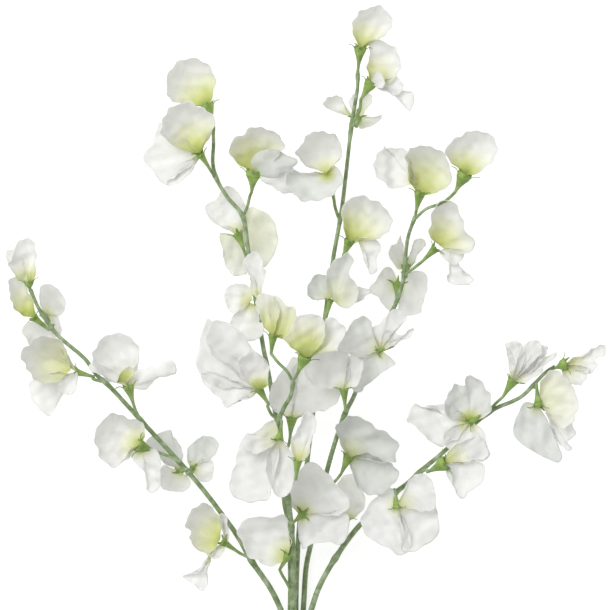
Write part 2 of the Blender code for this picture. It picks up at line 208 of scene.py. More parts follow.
def moulded_polyethylene():
    """Soft matt polyethylene, moulded and left unpainted, with a dry greyish bloom on the stems.

    It gives the eye a dull, blotched grey-green that turns fresher and yellower towards the calyx.
    """
    finish, tree = new_finish("moulded_polyethylene")
    place = add(tree, "TexCoord")
    blotch = add(tree, "TexNoise", {"Vector": (place, "Object")},
                 {"Scale": 1000 / STEM_BLOTCH, "Detail": 3.0, "Roughness": 0.6})
    grain = add(tree, "TexNoise", {"Vector": (place, "Object")},
                {"Scale": 1000 / STEM_GRAIN, "Detail": 2.0})
    dull = colour_steps(add(tree, "ValToRGB", {"Fac": (blotch, "Fac")}),
                        [(0.3, STEM_SHADE), (0.5, STEM_GREEN), (0.72, STEM_BLOOM)])
    bright = colour_steps(add(tree, "ValToRGB", {"Fac": (blotch, "Fac")}),
                          [(0.3, FRESH_SHADE), (0.7, FRESH_GREEN)])
    fresh = add(tree, "Attribute", attribute_name="fresh")
    colour = add(tree, "MixRGB",
                 {"Fac": (fresh, "Fac"), "Color1": (dull, "Color"), "Color2": (bright, "Color")})
    rough = add(tree, "MapRange", {"Value": (blotch, "Fac")}, {"To Min": 0.5, "To Max": 0.68})
    bump = add(tree, "Bump", {"Height": (grain, "Fac")}, {"Strength": 0.25, "Distance": 0.0002})
    shader = add(tree, "BsdfPrincipled", {"Base Color": (colour, "Color"), "Roughness": (rough, "Result"),
                                          "Normal": (bump, "Normal")},
                 {"IOR": 1.5, "Specular IOR Level": 0.35})
    add(tree, "OutputMaterial", {"Surface": (shader, "BSDF")})
    return finish


polyethylene = moulded_polyethylene()
stalk_path, stalk_radii = curve_through(STALK_ROUTE, STALK_RADII)
make_piece("stalk", [tube(stalk_path, stalk_radii, np.zeros(len(stalk_path)), STALK_SIDES, STALK_RIBS)],
           polyethylene, ["main_stem"])


# ==== Side stems and flower stalks ====
# Thinner wires in the same polyethylene, each with its flower stalks moulded on: a fine stalk leaves
# the stem in a curve and widens like a trumpet into the funnel that its calyx is pushed onto.

STEM_SIDES = 20
STEM_RIBS = 5
STEM_FRESH = 0.05           # its share of the bright green
SOCKET_DEPTH = 5            # how far a side stem goes into the stalk's collar
NODE_SWELL = 0.35           # a stem is this much thicker where a flower stalk leaves it
NODE_LENGTH = 3.5
PEDICEL_RADIUS = 1.15
PEDICEL_SIDES = 16
PEDICEL_RINGS = 33
PEDICEL_PULL = 0.35         # how far a flower stalk keeps its first and last directions
PEDICEL_FRESH = (0.1, 0.35)
FUNNEL_LENGTH = 12
FUNNEL_SHARE = 0.75         # most of the flower stalk that the funnel may take up
FUNNEL_RADIUS = 3.7
FUNNEL_FLARE = 1.7          # it widens with this power of the way along it
FUNNEL_RINGS = 10
CALYX_DEPTH = 3.0           # from the throat back to the funnel

# A side stem has its route from the collar to its tip, its radius at both ends, and its flowers. A
# flower has its throat, the way that it looks, the place where its stalk joins the stem, the size of
# its calyx, and the places that its stalk goes by.
Branch = namedtuple("Branch", "route radii flowers")
Flower = namedtuple("Flower", "throat aim join size via", defaults=(1.0, ()))

SPRAY = {}
SPRAY["left"] = Branch(radii=(2.4, 1.3), route=[
    (-4.7, 0, 11), (-6, 8, 11.2), (-12, 26, 12), (-20, 42, 13), (-33, 61, 15), (-42, 77, 16),
    (-50, 89, 17), (-70, 115.5, 19), (-90, 138.5, 22), (-117, 168, 25.5), (-140, 193, 28), (-150, 202, 28),
    (-159.3, 214.5, 29), (-179.3, 232, 31), (-192.2, 250, 33), (-199.5, 266, 35),
], flowers=[
    Flower((-200.5, 272, 37), (98, 5), (-199.5, 266, 35), 0.85),
    Flower((-197, 245, 26), (140, 5), (-182, 239, 31.5), 0.7),
    Flower((-189, 247, 5), (125, -65), (-189, 247, 32.5), 0.35),
    Flower((-165.5, 204, 28), (165, 8), (-143, 196, 28), 0.7, [(-152, 198.5, 28)]),
    Flower((-126, 194, 38), (106, 15), (-116.5, 168, 27), 1.05),
    Flower((-119, 149, 32), (160, 22), (-87, 136, 25), 1.25),
    Flower((-88, 129, 5), (200, -65), (-82, 130, 24), 0.4),
    Flower((-78, 131, 5), (50, -65), (-80, 128, 24), 0.5),
    Flower((-55, 76.5, 26), (145, 15), (-33, 62, 16), 0.75),
])

SPRAY["upper_left"] = Branch(radii=(2.2, 1.3), route=[
    (-4.7, 0, 5.4), (-4.7, 10, 6), (-4, 40, 9), (-5, 85, 13), (-8.5, 105, 15), (-10, 125, 17),
    (-12, 152, 19), (-17, 182, 21), (-21.5, 208, 23), (-25, 225, 24), (-33, 276, 27), (-36.5, 300, 28),
    (-40, 321, 28), (-52, 336, 28), (-60, 350, 28), (-62.5, 362, 28), (-61.9, 375, 29), (-62.3, 389, 29),
], flowers=[
    Flower((-66.5, 405.5, 20), (106, 4), (-62.3, 388, 29), 1.1),
    Flower((-71.5, 367.5, 44), (122, 20), (-61, 350, 28), 0.7),
    Flower((-31.5, 355, 42), (84, 12), (-39.5, 321, 28), 1.45, [(-36.5, 328, 32), (-34.5, 336, 37)]),
    Flower((-44, 308, 17), (112, -12), (-37, 288, 25), 0.85),
    Flower((-28, 258, 38), (98, 12), (-27.5, 240, 25), 0.6),
    Flower((-30, 254, 29), (160, 10), (-28.5, 245, 26), 0.4),
])

SPRAY["front"] = Branch(radii=(2.6, 1.4), route=[
    (0, 0, 14), (0, 8, 15.2), (-2, 26, 22), (-2, 62, 33), (-3.2, 85, 40), (-5.6, 107, 46), (-13, 160, 54),
    (-10, 175, 57), (-4, 186, 59), (-2, 197, 61),
], flowers=[
    Flower((-17, 232, 62), (84, 12), (-2, 196, 60), 0.85, [(-6, 204, 60.5), (-13, 211, 61)]),
    Flower((7, 216, 78), (66, 20), (-3, 195, 60), 1.25),
    Flower((-27.5, 191.5, 66), (122, 20), (-12, 168.5, 56), 0.8, [(-17.5, 171.5, 57), (-21, 178, 60)]),
    Flower((-12.5, 153, 65), (262, 20), (-12, 168, 55.5), 0.8),
    Flower((1.5, 138, 72), (84, 12), (-6, 109, 46), 0.8, [(-5, 116, 54), (-1, 124, 63)]),
    Flower((5, 97, 35), (40, -45), (-3.6, 88, 41), 0.75),
    Flower((-5.5, 67, 38), (60, 20), (-2, 36, 25), 0.75, [(-6.5, 45, 30), (-10, 51, 33)]),
    Flower((-3, 170, 44), (85, 5), (-10, 132, 50)),
])

SPRAY["centre"] = Branch(radii=(2.2, 1.3), route=[
    (0, 0, 2.6), (0, 8, 3), (0, 32, 9.5), (1, 62, 19), (3, 92, 23), (9, 141, 27), (15, 191, 28),
    (22, 246, 28), (28, 289, 28), (34, 323, 27), (37, 347, 27), (42, 391, 27), (46, 415, 28),
    (46.5, 430, 30),
], flowers=[
    Flower((48.5, 448, 38), (84, 10), (46.3, 426, 29.5), 1.15),
    Flower((57, 422, 31), (58, 8), (41, 384, 27), 1.2, [(44, 393, 28), (48, 401, 29)]),
    Flower((46, 395, 5), (90, -65), (42, 389, 27), 0.8),
    Flower((26, 346, 37), (102, 20), (32, 320, 27), 0.7, [(29.5, 328, 30)]),
    Flower((40.5, 303, 40), (68, 15), (25, 262, 28), 1, [(31, 276, 31)]),
    Flower((26, 258, 41), (76, 15), (21, 238, 28), 0.6),
])

SPRAY["upper_right"] = Branch(radii=(2.2, 1.3), route=[
    (4.7, 0, 5.4), (4.7, 10, 6), (6, 32, 7), (7.5, 55, 9), (10.5, 71, 11), (17, 100, 17), (23.5, 130, 24),
    (31, 156, 28), (37.5, 174, 29.5), (44.5, 188, 31), (59, 227, 31), (73, 251, 30), (77.5, 262, 29),
    (81, 275, 28), (82.5, 292, 28), (84.5, 306, 29), (89.7, 321, 30),
], flowers=[
    Flower((93.5, 339, 26), (78, 5), (89.7, 320, 30)),
    Flower((127, 353, 50), (62, 14), (89.5, 319, 30), 1.4, [(98, 326.5, 33), (109, 330.5, 39),
           (115.5, 335, 43)]),
    Flower((105, 297, 30), (45, 5), (82, 277, 28.5), 0.8, [(88, 281.5, 29)]),
    Flower((83, 283, 5), (90, -60), (82, 287, 28), 0.8),
    Flower((77, 270, 8), (85, -35), (76, 262, 27), 0.9),
    Flower((62, 219.5, 46), (200, 20), (58, 222, 33), 0.4),
    Flower((36, 192, 56), (94, 15), (36.5, 172, 30), 0.85),
    Flower((40, 141, 40), (66, 10), (15, 97, 18), 1, [(24, 115, 28), (31, 123.5, 33)]),
])

SPRAY["right"] = Branch(radii=(2.4, 1.3), route=[
    (4.7, 0, 11), (6, 8, 11.2), (12, 26, 12), (18, 43, 13), (30.5, 65, 15.5), (48, 88.5, 19.5),
    (73, 111.5, 24), (85, 121, 26), (97.2, 132.3, 27), (110, 143, 28), (138.5, 168.5, 28),
    (150, 176.5, 29), (163, 182, 30), (172, 187.5, 30), (187, 203, 30), (195, 208, 30),
], flowers=[
    Flower((203, 210, 34), (20, 5), (195, 207, 30), 1.15),
    Flower((163.5, 198, 36), (58, 5), (144, 172, 28), 1, [(149, 179, 30)]),
    Flower((182, 178, 48), (275, 14), (179, 192, 30), 0.9),
    Flower((130, 165.5, 40), (212, 14), (145, 173.5, 28), 0.6),
    Flower((112.5, 136, 48), (27, 15), (92, 128, 27), 1.35, [(98, 130.5, 33)]),
    Flower((76, 102, 42), (278, 12), (74, 112.3, 25), 0.75, [(74.5, 115, 33)]),
    Flower((38, 93, 14), (84, 5), (29, 64, 15), 0.7),
])


def axes(turn, rise):
    """Forward along (turn, rise), the direction square to it nearest the sky, and the one to its side."""
    turn, rise = np.radians([turn, rise])
    forward = np.array([np.cos(turn) * np.cos(rise), np.sin(turn) * np.cos(rise), np.sin(rise)])
    up = np.array([-np.cos(turn) * np.sin(rise), -np.sin(turn) * np.sin(rise), np.cos(rise)])
    return forward, up, np.cross(forward, up)


def flower_stalk(flower, stem):
    """The stalk of one flower: from the stem to the funnel, then straight to the calyx.

    It is a cubic Bezier or, with places to go by, a Catmull-Rom curve through them. Its radius is
    PEDICEL_RADIUS, and grows along the funnel with the way along it to the power FUNNEL_FLARE.
    """
    throat, join = np.array(flower.throat, float), np.array(flower.join, float)
    forward = axes(*flower.aim)[0]
    end = throat - forward * CALYX_DEPTH * flower.size
    funnel = min(FUNNEL_LENGTH, FUNNEL_SHARE * np.linalg.norm(end - join))
    start = end - forward * funnel
    if flower.via:
        curve = curve_through([join, *flower.via, start], count=PEDICEL_RINGS)[0]
    else:
        nearest = np.linalg.norm(stem[:-1] + stem[1:] - 2 * join, axis=1).argmin()
        leave = unit(unit(stem[nearest + 1] - stem[nearest]) + unit(start - join))
        pull = PEDICEL_PULL * np.linalg.norm(start - join)
        t = np.linspace(0, 1, PEDICEL_RINGS)[:, None]
        curve = ((1 - t) ** 3 * join + 3 * (1 - t) ** 2 * t * (join + leave * pull)
                 + 3 * (1 - t) * t ** 2 * (start - forward * pull) + t ** 3 * start)
    along = np.linspace(0, 1, FUNNEL_RINGS + 1)[1:]
    path = np.vstack([curve, start + (end - start) * along[:, None]])
    funnel_radii = PEDICEL_RADIUS + (FUNNEL_RADIUS * flower.size - PEDICEL_RADIUS) * along ** FUNNEL_FLARE
    radii = np.concatenate([np.full(PEDICEL_RINGS, PEDICEL_RADIUS), funnel_radii])
    fresh = np.concatenate([np.linspace(*PEDICEL_FRESH, PEDICEL_RINGS),
                            PEDICEL_FRESH[1] + (1 - PEDICEL_FRESH[1]) * along])
    return tube(path, radii, fresh, PEDICEL_SIDES)


for branch_name, branch in SPRAY.items():
    route = [tuple(np.subtract(branch.route[0], (0, SOCKET_DEPTH, 0))), *branch.route]
    stem, stem_radii = curve_through(route, np.linspace(*branch.radii, len(route)))
    joins = np.array([flower.join for flower in branch.flowers], float)
    nearness = np.linalg.norm(stem[:, None] - joins[None], axis=2).min(axis=1)
    swollen = stem_radii * (1 + NODE_SWELL * np.exp(-(nearness / NODE_LENGTH) ** 2))
    shapes = [tube(stem, swollen, np.full(len(stem), STEM_FRESH), STEM_SIDES, STEM_RIBS)]
    shapes += [flower_stalk(flower, stem) for flower in branch.flowers]
    make_piece(f"{branch_name}_stem_skin", shapes, polyethylene, [f"{branch_name}_stem"])


# ==== Calyces ====
# A small cup of the same polyethylene in a fresher green, moulded with five thin pointed sepals that
# curl outward and back, and pushed over the feet of the petals onto the funnel.

CUP_PROFILE = [(0.0, -3.0), (3.7, -3.0), (3.9, -1.9), (4.05, -0.8), (4.0, 0.2), (3.7, 0.5),
               (3.3, 0.2), (2.6, -1.4), (0.0, -2.0)]
CUP_SIDES = 30
CUP_REST = 0.2              # no lower than this above the table
SEPALS = 5
SEPAL_ROWS = 10
SEPAL_COLUMNS = 5
SEPAL_FOOT = (3.7, -1.6)    # its radius and height on a cup of size 1
SEPAL_LENGTH = 6.8
SEPAL_END = 0.985           # it is blunt this far along
SEPAL_WIDTH = 1.3           # half its width at the foot
SEPAL_TAPER = 0.7
SEPAL_TROUGH = 0.2
SEPAL_THICKNESS = 0.45
SEPAL_LEAN = (25, 105)      # its angle to the flower's axis at the foot and at the tip
SEPAL_FRESH = (0.9, 0.3)    # bright green at its foot, and what it loses towards the tip
SEPAL_REST = 0.5
TURN_PLAY = (-9, 9)         # how far sepals differ in place, in length, in lean and in twist
LENGTH_PLAY = (0.85, 1.2)
LEAN_PLAY = (-35, 25)
TWIST_PLAY = (-0.25, 0.25)


def closed_sheet(grid, thickness, attributes, uv=None):
    """A closed solid from a grid of points: two copies, half the thickness off along the normals.

    The normal is the cross product of the grid's two slopes. The four edges are joined by a band.
    """
    down, over = np.gradient(grid, axis=(0, 1))
    normal = np.cross(down, over)
    normal /= np.maximum(np.linalg.norm(normal, axis=2, keepdims=True), 1e-9)
    rows, columns = grid.shape[:2]
    points = np.concatenate([grid + normal * thickness / 2, grid - normal * thickness / 2]).reshape(-1, 3)
    number = np.arange(rows * columns).reshape(rows, columns)
    quads = np.stack([number[:-1, :-1], number[1:, :-1], number[1:, 1:], number[:-1, 1:]], -1)
    quads = quads.reshape(-1, 4)
    edge = np.concatenate([number[:-1, 0], number[-1, :-1], number[:0:-1, -1], number[0, :0:-1]])
    following = np.roll(edge, -1)
    count = rows * columns
    band = np.stack([edge, edge + count, following + count, following], -1)
    faces = np.concatenate([quads, quads[:, ::-1] + count, band])
    twice = {key: np.tile(np.broadcast_to(value, (rows, columns)).ravel(), 2)
             for key, value in attributes.items()}
    return points, [faces], twice, None if uv is None else np.tile(uv.reshape(-1, 2), (2, 1))


def cup(throat, aim, size):
    """A closed surface of revolution: CUP_PROFILE's (radius, height) turned about the flower's axis."""
    forward, up, side = axes(*aim)
    profile = np.array(CUP_PROFILE) * size
    angle = 2 * np.pi * np.arange(CUP_SIDES) / CUP_SIDES
    outward = np.cos(angle)[:, None] * up + np.sin(angle)[:, None] * side
    rings = profile[1:-1, 0][:, None, None] * outward + profile[1:-1, 1][:, None, None] * forward
    points = throat + np.vstack([rings.reshape(-1, 3), profile[[0, -1], 1][:, None] * forward])
    low = np.arange(CUP_SIDES)
    high = low + (len(rings) - 1) * CUP_SIDES
    base = np.stack([np.full(CUP_SIDES, len(points) - 2), np.roll(low, -1), low], -1)
    mouth = np.stack([np.full(CUP_SIDES, len(points) - 1), high, np.roll(high, -1)], -1)
    points[:, 2] = np.maximum(points[:, 2], CUP_REST)
    return points, [bands(len(rings), CUP_SIDES), base, mouth], {"fresh": np.ones(len(points))}, None


def sepal(throat, aim, size, turn, length, lean, twist):
    """One sepal: a pointed strip whose angle to the axis turns evenly from foot to tip.

    Radius and height are the integrals of the sine and cosine of that angle. Its half width shrinks
    with the way left to the tip to the power SEPAL_TAPER, and it is raised by SEPAL_TROUGH times the
    square of the distance from its middle.
    """
    forward, up, side = axes(*aim)
    s = np.linspace(0, SEPAL_END, SEPAL_ROWS)[:, None]
    across = np.linspace(-1, 1, SEPAL_COLUMNS)[None, :]
    start, turned = np.radians(lean[0]), np.radians(lean[1] - lean[0])
    radius = SEPAL_FOOT[0] * size + length / turned * (np.cos(start) - np.cos(start + turned * s))
    height = SEPAL_FOOT[1] * size + length / turned * (np.sin(start + turned * s) - np.sin(start))
    half = SEPAL_WIDTH * (1 - s) ** SEPAL_TAPER
    round_axis = np.radians(turn) + twist * s ** 2
    outward = np.cos(round_axis)[..., None] * up + np.sin(round_axis)[..., None] * side
    sideways = -np.sin(round_axis)[..., None] * up + np.cos(round_axis)[..., None] * side
    height = height + SEPAL_TROUGH * (half * across) ** 2
    grid = (throat + (radius + 0 * across)[..., None] * outward + height[..., None] * forward
            + (half * across)[..., None] * sideways)
    grid[..., 2] = np.maximum(grid[..., 2], SEPAL_REST)
    return closed_sheet(grid, SEPAL_THICKNESS, {"fresh": SEPAL_FRESH[0] - SEPAL_FRESH[1] * s})


for branch_name, branch in SPRAY.items():
    for number, flower in enumerate(branch.flowers, 1):
        throat = np.array(flower.throat, float)
        chance = np.random.default_rng(1000 + number + 37 * len(branch_name))
        shapes = [cup(throat, flower.aim, flower.size)]
        for k in range(SEPALS):
            shapes.append(sepal(throat, flower.aim, flower.size,
                                360 / SEPALS * k + chance.uniform(*TURN_PLAY),
                                SEPAL_LENGTH * flower.size ** 0.5 * chance.uniform(*LENGTH_PLAY),
                                (SEPAL_LEAN[0], SEPAL_LEAN[1] + chance.uniform(*LEAN_PLAY)),
                                chance.uniform(*TWIST_PLAY)))
        make_piece(f"{branch_name}_calyx_{number}", shapes, polyethylene,
                   [f"{branch_name}_blossom_{number}"])


# ==== Petals ====
# Thin polyester cloth, cut with a hot die so that the edges don't fray, pressed between warm moulds
# that leave soft pleats and a frilled rim, tinted at the foot and glued into the calyx.

PETAL_THICKNESS = 0.3
PETAL_START = 0.02          # where on its way out from the foot a petal starts
PETAL_SIDES = 0.15          # and where the sides of its outline do
PETAL_DEPTH = 1.5           # its foot is this deep in the calyx
PETAL_REST = 0.4            # no lower than this above the table
PETAL_ROWS = 26
PETAL_COLUMNS = 56
WAIST = 0.25                # width of a waist, as a share of the rim's
WANDER = 0.12               # how far folds stray across a petal
PLEATS = 6                  # pressed pleats across a petal
PLEAT_DEPTH = 0.2
CREASE_WIDTH = 0.1
CRUMPLE = 0.03              # height of a dent, as a share of its length
CRUMPLE_LENGTHS = (7, 9, 12, 15, 19)
FRILL = 0.55                # the small curls of the rim
RAGGED = 0.007              # and its small nicks, as a share of the petal
SHORT_PETAL = 18            # a shorter one is folded less
CLOTH_WHITE = "#f5f5f3"
CLOTH_CREAM = "#f1f2df"
CLOTH_YELLOW_GREEN = "#dfe3a2"
CLOTH_GREEN = "#b6c463"
# the darkest step: partly the real airbrushed olive, partly painted shade deep in the throat
CLOTH_OLIVE_AND_THROAT_SHADE = "#6f7f2b"
CLOTH_THIN_AND_PAINTED_SHADE = "#eceeec"      # over the clouds of thinner and greyer cloth, and as painted shade over some whole petals
CLOTH_PATCH = 12            # length of a patch of stronger or weaker tint
CLOTH_CLOUD = 7
CLOTH_THREAD = 0.5          # the real threads are 0.2 mm apart, too fine to show
TINT_FALL = 1.2             # the tint weakens with this power of the way left to its end
VEINS = (9.0, 0.35, 1.0)    # across a petal, and along it
SHEER = 0.4                 # share of the light that goes through

CUP, BOWL, DISH, LEAF, ARCH = (42, 92), (34, 72), (24, 50), (8, 24), (-32, -24)
NARROW = {"tint": 0.35, "fade": 13, "ruffle": 0.4, "crease": 0.1}

Petal = namedtuple("Petal", "outline form rise foot ruffle waves crease tint fade waist lift thin",
                   defaults=(CUP, 0, None, 1.0, 1.9, 0.3, 0.72, 26, None, 0, 0))


def hood(outline, form=CUP, rise=0, **more):
    """A big petal, cupped and well tinted at the foot unless told otherwise."""
    return Petal(outline, form, rise, **more)


def wing(outline, rise=0, form=LEAF, **more):
    """A flatter petal, white almost to its foot unless told otherwise."""
    return Petal(outline, form, rise, **{"tint": 0.45, "fade": 10, "waves": 1.5, **more})


# The petals of each flower, by its number on the stem. A petal is cut to an outline, given as x, y,
# x, y and so on from the throat, anticlockwise as seen from above. Its form is the slope, downward at
# the foot and upward at the rim, that it is pressed to, and rise tips it. It starts in the throat or
# at foot, lift higher. Its ruffle and waves are the depth and number of its folds, tint and fade the
# strength and reach of its colour, waist a place where it is drawn together, and the last field how
# far the whole petal is greyed with painted shade, where it lies in shade.
PETALS = {}
PETALS["left"] = {
    1: [hood([5.5, 6, 6.5, 12, 4.5, 18, 5.5, 25, 1.5, 31, -5.5, 30, -10.5, 25, -13.5, 18, -14.5, 11,
              -10.5, 4], DISH, fade=17, ruffle=1.4),
        wing([-7.5, 22, -11.5, 24, -17.5, 23, -16.5, 15, -12.5, 9], -10)],
    2: [hood([1, 7, -3, 19, -9, 27, -16, 29, -19, 20, -17, 12, -13, 5, -7, 2], BOWL, tint=0.75)],
    3: [wing([11, 0, 16, 8, 12, 17, 5, 23, -1, 22, -4, 15, -4, 7], -8),
        wing([2, -7, 7, -16, 12, -13, 11, -5, 8, 0], -10)],
    4: [wing([-12.5, 18, -16.5, 30, -24.5, 37, -32.5, 37, -39.5, 34, -38.5, 27, -35.5, 21, -28.5, 16], -20,
              DISH),
        hood([-5.5, 10, -9.5, 21, -17.5, 27, -26.5, 25, -34.5, 20, -39.5, 12, -36.5, 2, -31.5, -6,
              -24.5, -9, -14.5, -7], foot=(-3.5, 2), tint=0.5, fade=27, crease=1.2),
        wing([-31.5, -5, -35.5, -13, -31.5, -23, -25.5, -30, -20.5, -33, -16.5, -23, -12.5, -14], -16,
              ruffle=1.8),
        wing([-12.5, -8, -11.5, -15, -6.5, -17, -1.5, -16, 1.5, -10, 0.5, 0], -20, lift=7, tint=0)],
    5: [hood([4, 11, 9, 19, 8, 29, 2, 36, -9, 38, -20, 35, -25, 28, -27, 20, -25, 12, -16, 6], DISH,
              tint=0.6, fade=14, crease=1.6),
        wing([4, -2, 13, -3, 18, 0, 23, 5, 27, 9, 36, 10, 33, 19, 24, 16, 14, 14, 4, 11], -2, ARCH,
              ruffle=0.8),
        wing([-11, 12, -22, 16, -29, 14, -25, 9, -15, 4], -6, lift=3),
        wing([1, 5, 5, 10, 1, 15, -5, 10], 20, foot=(-8, 2), lift=4, tint=1, fade=20, ruffle=0.3)],
    6: [hood([6, 8, 2, 18, -9, 21, -21, 22, -29, 16, -32, 4, -28, -8, -21, -16, -14, -15, -10, -8, -6, -4],
              BOWL, tint=0.6, fade=15),
        wing([-6, -3, -3, -12, 6, -22, 8, -33, 11, -36, 16, -33, 18, -21, 17, -9, 13, -3], -14,
              foot=(3, -3))],
    7: [wing([2, 15, -1, 23, -4, 27, -6, 32, -13, 29, -21, 26, -25, 19, -16, 11], -4, thin=0.6),
        wing([-12, 4, -15, -5, -12, -13, -6, -15, 4, -15, 9, -8], -8)],
    8: [wing([13, 7, 19, 14, 18, 21, 10, 25, 3, 22, -3, 16, -4, 7], -8, thin=0.75),
        wing([4, -8, 8, -10, 14, -8, 16, -1, 15, 6, 10, 9], -12)],
    9: [hood([-1, 15.5, -7, 25.5, -14, 27.5, -22, 22.5, -27, 13.5, -25, 7.5, -26, 0.5, -20, -5.5,
              -13, -9.5, -9, -10.5], foot=(-2, 1.5), tint=0.6, fade=20, ruffle=0.9),
        wing([-10, -10.5, -4, -13.5, 1, -7.5, 5, 3.5, 3, 13.5, -1, 20.5], 10, DISH, tint=0.3),
        wing([-20, -22.5, -30, -26.5, -24, -31.5, -15, -37.5, -12, -30.5], -25, foot=(-9, -8.5),
              waist=(-12, -20.5), ruffle=0.7)],
}

PETALS["upper_left"] = {
    1: [hood([3.5, 5.5, 6.5, 15.5, 4.5, 24.5, -2.5, 31.5, -11.5, 33.5, -21.5, 30.5, -28.5, 23.5,
              -31.5, 15.5, -30.5, 4.5, -25.5, 0.5, -13.5, -0.5], BOWL, tint=0.75, fade=25)],
    2: [hood([2.5, 8.5, 8.5, 17.5, 11.5, 24.5, 6.5, 31.5, -2.5, 36.5, -14.5, 36.5, -24.5, 33.5,
              -28.5, 24.5, -29.5, 15.5, -25.5, 10.5, -19.5, 5.5, -11.5, 3.5], BOWL, foot=(-0.3, 0.3),
              lift=0.3, tint=0.75, fade=26),
        wing([-28.5, 23.5, -33.5, 17.5, -36.5, 8.5, -43.5, -2.5, -37.5, -11.5, -26.5, -22.5, -21.5, -18.5,
              -16.5, -8.5], -11, ruffle=1.6, lift=-2),
        wing([-24.5, -21.5, -14.5, -20.5, -7.5, -13.5, -5.5, -6.5, -0.5, -2.5], -3, lift=-1)],
    3: [hood([15.5, 7, 20.5, 17, 19.5, 25, 12.5, 31, 2.5, 33, -6.5, 30, -12.5, 24, -17.5, 14, -10.5, 5]),
        wing([13.5, -5, 26.5, 1, 32.5, 7, 28.5, 11, 21.5, 14, 13.5, 16, 4.5, 14, -1.5, 8], 14, ARCH,
              ruffle=0.8, thin=0.85),
        wing([14.5, -12, 21.5, -17, 29.5, -17, 35.5, -9, 31.5, 1, 19.5, 6], -8, ARCH)],
    4: [wing([7, 19, 3, 28, -4, 35, -10, 35, -16, 26, -24, 20, -21, 11, -14, 6, -6, 6], -12, tint=0.6,
              fade=12),
        wing([-13, 0, -12, -10, -9, -22, -4, -31, 4, -31, 8, -28, 6, -16], -20, tint=0.17, fade=40,
              thin=0.45),
        wing([17, -24, 24, -21, 30, -9, 29, 5, 25, 13, 17, 18, 9, 19], -20, tint=0.2, fade=60)],
    5: [hood([4, 10, 6, 20, 4, 27, 1, 34, -5, 36, -10, 31, -11, 26, -6, 18, -6, 8], LEAF, tint=0.6,
              fade=12, waist=(0, 14))],
    6: [wing([-3, 10, -8, 16, -15, 16, -22, 13, -24, 6, -21, -2, -15, -7], 0, foot=(-4, 3), lift=6,
              tint=0.5, fade=12),
        wing([-16, -5, -20, -14, -19, -22, -16, -28, -8, -27, 0, -26, 6, -18, 6, -9, 2, -2], -8,
              foot=(-4, 2), lift=5)],
}

PETALS["front"] = {
    1: [hood([5, 16, 1, 27, -6, 31, -12, 28, -12, 18, -8, 8], LEAF, tint=0.6, fade=36, lift=2, crease=0,
              ruffle=0.5),
        hood([9, -3, 15, -4, 20, 6, 18, 14, 16, 20, 10, 22, 5, 28, -1, 27, -3, 17], LEAF, tint=0.55,
              fade=36, crease=0, ruffle=0.6, waves=2.6)],
    2: [hood([6, 2, 12, 8, 15, 17, 13, 28, 6, 32, -3, 31, -9, 26, -11, 18, -16, 13, -8, 6], LEAF, 6,
              fade=34, ruffle=0.9, waves=2.6, crease=0),
        wing([13, 2, 23, 4, 27, 11, 30, 19, 26, 25, 19, 29, 13, 25], -4, tint=0.5, fade=30)],
    3: [wing([-34.5, 50.5, -41.5, 45.5, -44.5, 32.5, -46.5, 17.5, -41.5, 7.5, -32.5, 1.5], -8, ruffle=1.4),
        wing([6.5, 5.5, 7.5, 14.5, 3.5, 23.5, -5.5, 31.5, -10.5, 39.5, -22.5, 48.5, -34.5, 50.5,
              -40.5, 38.5, -32.5, 23.5], -2, ruffle=1.3, tint=0.5, fade=14),
        wing([-42.5, 12.5, -38.5, 0.5, -30.5, -6.5, -23.5, -14.5, -17.5, -8.5, -9.5, -7.5, -5.5, -2.5], -8,
              ruffle=1.4),
        hood([6.5, 4.5, 7.5, 14.5, 2.5, 22.5, -5.5, 27.5, -13.5, 22.5, -14.5, 12.5, -8.5, 5.5], DISH,
              tint=0.9, fade=14, lift=4)],
    4: [wing([-3.5, 15, -11.5, 12, -18.5, 5, -25.5, 3, -27.5, -4, -21.5, -10, -11.5, -9], 5, tint=0.35,
              fade=20),
        wing([-25.5, 1, -30.5, -6, -31.5, -17, -35.5, -27, -38.5, -35, -33.5, -42, -23.5, -47, -14.5, -46,
              -6.5, -43, -3.5, -25], -6, ruffle=1.6),
        wing([-9.5, -11, -9.5, -25, -5.5, -38, 0.5, -41, 6.5, -39, 10.5, -28, 11.5, -15, 7.5, -5], -10,
              DISH, lift=2)],
    5: [hood([8.5, 5, 10.5, 16, 13.5, 28, 10.5, 35, 3.5, 34, -1.5, 22, -4.5, 10], LEAF, tint=0.55, fade=18,
              waves=2.4)],
    6: [wing([33, 4, 35, 12, 29, 20, 20, 30, 7, 40, -1, 33, -8, 20, -13, 13, -5, 6], -2, ruffle=1.8,
              tint=0.6, fade=14),
        wing([-4, -7, -3, -19, 0, -26, 7, -23, 21, -20, 31, -21, 34, -13, 35, -1, 25, 4], -10,
              ruffle=1.8)],
    7: [hood([1.5, 11, 1.5, 23, -3.5, 31, -11.5, 30, -18.5, 29, -28.5, 26, -37.5, 19, -35.5, 10, -30.5, -1,
              -22.5, -7, -14.5, -9, -7.5, -6], DISH, tint=0.55, fade=17, ruffle=1.5)],
    8: [wing([3, 30, 3, 45, -4, 38, -12, 29, -17, 18, -17, 8, -9, 4], -6),
        wing([9, 3, 20, 6, 33, 13, 38, 25, 33, 42, 18, 47, 6, 46], -8, ruffle=2.0)],
}

